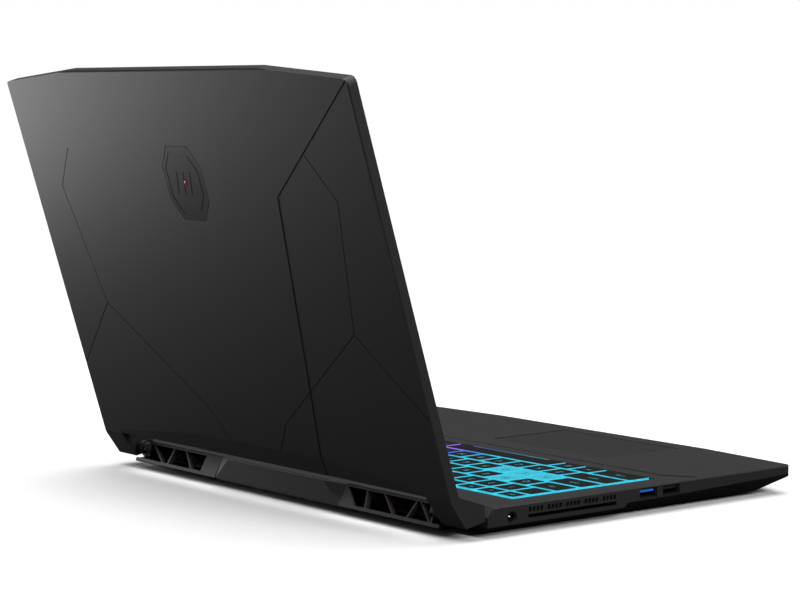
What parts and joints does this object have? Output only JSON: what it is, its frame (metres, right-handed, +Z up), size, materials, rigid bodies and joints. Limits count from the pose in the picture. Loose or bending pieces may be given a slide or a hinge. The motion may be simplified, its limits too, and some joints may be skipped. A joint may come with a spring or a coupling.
{
  "type": "laptop computer",
  "caption": "Clamshell laptop with a wide backlit keyboard, offset touchpad, side ports, slanted rear exhaust grilles and a lid that turns on two hinge wings.",
  "frame": {"origin": "centre of the bounding box in plan, at the underside of the feet", "axes": "+X to the user's right, +Y from the front edge towards the rear, +Z up"},
  "size_m": [0.359, 0.3402, 0.2582],
  "materials": {
    "shell": "dark charcoal anodised, fine satin",
    "badge_gloss": "smooth, darker than the lid",
    "cover_plastic": "fine moulded grain",
    "grille_plastic": "satin moulded ribs",
    "screen_glass": "dark anti-glare panel",
    "lens_glass": "polished",
    "steel": "stamped and nickel plated",
    "dark_steel": "blackened steel of hinges, screws and socket shells",
    "copper": "bare copper with a reddish tint",
    "board": "printed circuit board",
    "battery_wrap": "black wrapped foil cells",
    "port_plastic": "moulded black insulator",
    "touch_surface": "smooth satin sheet",
    "rubber_foot": "soft matte rubber",
    "key_black": "smooth coated caps",
    "key_clear": "clear caps lit from below",
    "key_light": "light guide under the keys",
    "legend_light": "thin lit signs on the caps",
    "port_tongue_blue": "coloured socket tongue",
    "accent_red": "small painted dot"
  },
  "bodies": {
    "base": {"deck_cover": "shell", "bottom_cover": "cover_plastic", "exhaust_grille_left": "grille_plastic", "exhaust_grille_right": "grille_plastic", "rear_center_bar": "shell", "hinge_bracket_left": "dark_steel", "hinge_bracket_right": "dark_steel", "keyboard_plate": "key_light", "motherboard": "board", "cold_plates": "copper", "heat_pipes": "copper", "fin_stacks": "copper", "fan_housing_left": "port_plastic", "fan_housing_right": "port_plastic", "memory_modules": "board", "solid_state_drive": "board", "wireless_card": "board", "battery_pack": "battery_wrap", "speakers": "port_plastic", "power_inlet": "port_plastic", "usb_ports_left": "dark_steel", "usb_ports_right": "dark_steel", "video_port": "steel", "network_port": "port_plastic", "audio_jack": "port_plastic", "rubber_feet": "rubber_foot", "bottom_screws": "dark_steel"},
    "lid": {"lid_cover": "shell", "lid_badge": "badge_gloss", "display_bezel": "cover_plastic", "display_panel": "screen_glass", "camera_module": "board", "camera_window": "lens_glass", "bezel_bumpers": "rubber_foot", "hinge_arm_left": "dark_steel", "hinge_arm_right": "dark_steel", "hinge_pin_left": "dark_steel", "hinge_pin_right": "dark_steel", "antennas": "copper", "display_cable": "port_plastic"},
    "touchpad": {"touchpad": "touch_surface"},
    "fan_left": {"fan_impeller_left": "port_plastic"},
    "fan_right": {"fan_impeller_right": "port_plastic"},
    "keys_function_row": {"keys_function_row": "key_black"},
    "keys_number_row": {"keys_number_row": "key_black"},
    "keys_upper_row": {"keys_upper_row": "key_black"},
    "keys_home_row": {"keys_home_row": "key_black"},
    "keys_lower_row": {"keys_lower_row": "key_black"},
    "keys_bottom_row": {"keys_bottom_row": "key_black"},
    "keys_number_pad": {"keys_number_pad": "key_black"},
    "keys_arrows": {"keys_arrows": "key_black"},
    "key_escape": {"key_escape": "key_black"},
    "key_power": {"key_power": "key_black"},
    "key_w": {"key_w": "key_clear"},
    "key_a": {"key_a": "key_clear"},
    "key_s": {"key_s": "key_clear"},
    "key_d": {"key_d": "key_clear"},
    "key_enter": {"key_enter": "key_black"},
    "key_space": {"key_space": "key_black"}
  },
  "joints": [
    {"name": "lid_hinge", "type": "hinge", "parent": "base", "child": "lid", "pos_m": [0, 0.08639, 0.0137], "axis": [-1, 0, 0], "range_deg": [-106.6, 33.4]},
    {"name": "touchpad_click", "type": "hinge", "parent": "base", "child": "touchpad", "pos_m": [-0.0355, -0.09611, 0.0161], "axis": [1, 0, 0], "range_deg": [0, 0.4], "stiffness_Nm_per_rad": 6, "springref_deg": -0.57},
    {"name": "fan_left_spin", "type": "hinge", "parent": "base", "child": "fan_left", "pos_m": [-0.115, 0.02389, 0.008], "axis": [0, 0, 1], "continuous": true},
    {"name": "fan_right_spin", "type": "hinge", "parent": "base", "child": "fan_right", "pos_m": [0.115, 0.02389, 0.008], "axis": [0, 0, 1], "continuous": true},
    {"name": "keys_function_row_press", "type": "slide", "parent": "base", "child": "keys_function_row", "axis": [0, 0, 1], "range_m": [-0.0015, 0], "stiffness_N_per_m": 250, "springref_m": 0.001},
    {"name": "keys_number_row_press", "type": "slide", "parent": "base", "child": "keys_number_row", "axis": [0, 0, 1], "range_m": [-0.0015, 0], "stiffness_N_per_m": 250, "springref_m": 0.001},
    {"name": "keys_upper_row_press", "type": "slide", "parent": "base", "child": "keys_upper_row", "axis": [0, 0, 1], "range_m": [-0.0015, 0], "stiffness_N_per_m": 250, "springref_m": 0.001},
    {"name": "keys_home_row_press", "type": "slide", "parent": "base", "child": "keys_home_row", "axis": [0, 0, 1], "range_m": [-0.0015, 0], "stiffness_N_per_m": 250, "springref_m": 0.001},
    {"name": "keys_lower_row_press", "type": "slide", "parent": "base", "child": "keys_lower_row", "axis": [0, 0, 1], "range_m": [-0.0015, 0], "stiffness_N_per_m": 250, "springref_m": 0.001},
    {"name": "keys_bottom_row_press", "type": "slide", "parent": "base", "child": "keys_bottom_row", "axis": [0, 0, 1], "range_m": [-0.0015, 0], "stiffness_N_per_m": 250, "springref_m": 0.001},
    {"name": "keys_number_pad_press", "type": "slide", "parent": "base", "child": "keys_number_pad", "axis": [0, 0, 1], "range_m": [-0.0015, 0], "stiffness_N_per_m": 250, "springref_m": 0.001},
    {"name": "keys_arrows_press", "type": "slide", "parent": "base", "child": "keys_arrows", "axis": [0, 0, 1], "range_m": [-0.0015, 0], "stiffness_N_per_m": 250, "springref_m": 0.001},
    {"name": "key_escape_press", "type": "slide", "parent": "base", "child": "key_escape", "axis": [0, 0, 1], "range_m": [-0.0015, 0], "stiffness_N_per_m": 250, "springref_m": 0.001},
    {"name": "key_power_press", "type": "slide", "parent": "base", "child": "key_power", "axis": [0, 0, 1], "range_m": [-0.0015, 0], "stiffness_N_per_m": 250, "springref_m": 0.001},
    {"name": "key_w_press", "type": "slide", "parent": "base", "child": "key_w", "axis": [0, 0, 1], "range_m": [-0.0015, 0], "stiffness_N_per_m": 250, "springref_m": 0.001},
    {"name": "key_a_press", "type": "slide", "parent": "base", "child": "key_a", "axis": [0, 0, 1], "range_m": [-0.0015, 0], "stiffness_N_per_m": 250, "springref_m": 0.001},
    {"name": "key_s_press", "type": "slide", "parent": "base", "child": "key_s", "axis": [0, 0, 1], "range_m": [-0.0015, 0], "stiffness_N_per_m": 250, "springref_m": 0.001},
    {"name": "key_d_press", "type": "slide", "parent": "base", "child": "key_d", "axis": [0, 0, 1], "range_m": [-0.0015, 0], "stiffness_N_per_m": 250, "springref_m": 0.001},
    {"name": "key_enter_press", "type": "slide", "parent": "base", "child": "key_enter", "axis": [0, 0, 1], "range_m": [-0.0015, 0], "stiffness_N_per_m": 250, "springref_m": 0.001},
    {"name": "key_space_press", "type": "slide", "parent": "base", "child": "key_space", "axis": [0, 0, 1], "range_m": [-0.0015, 0], "stiffness_N_per_m": 250, "springref_m": 0.001}
  ]
}
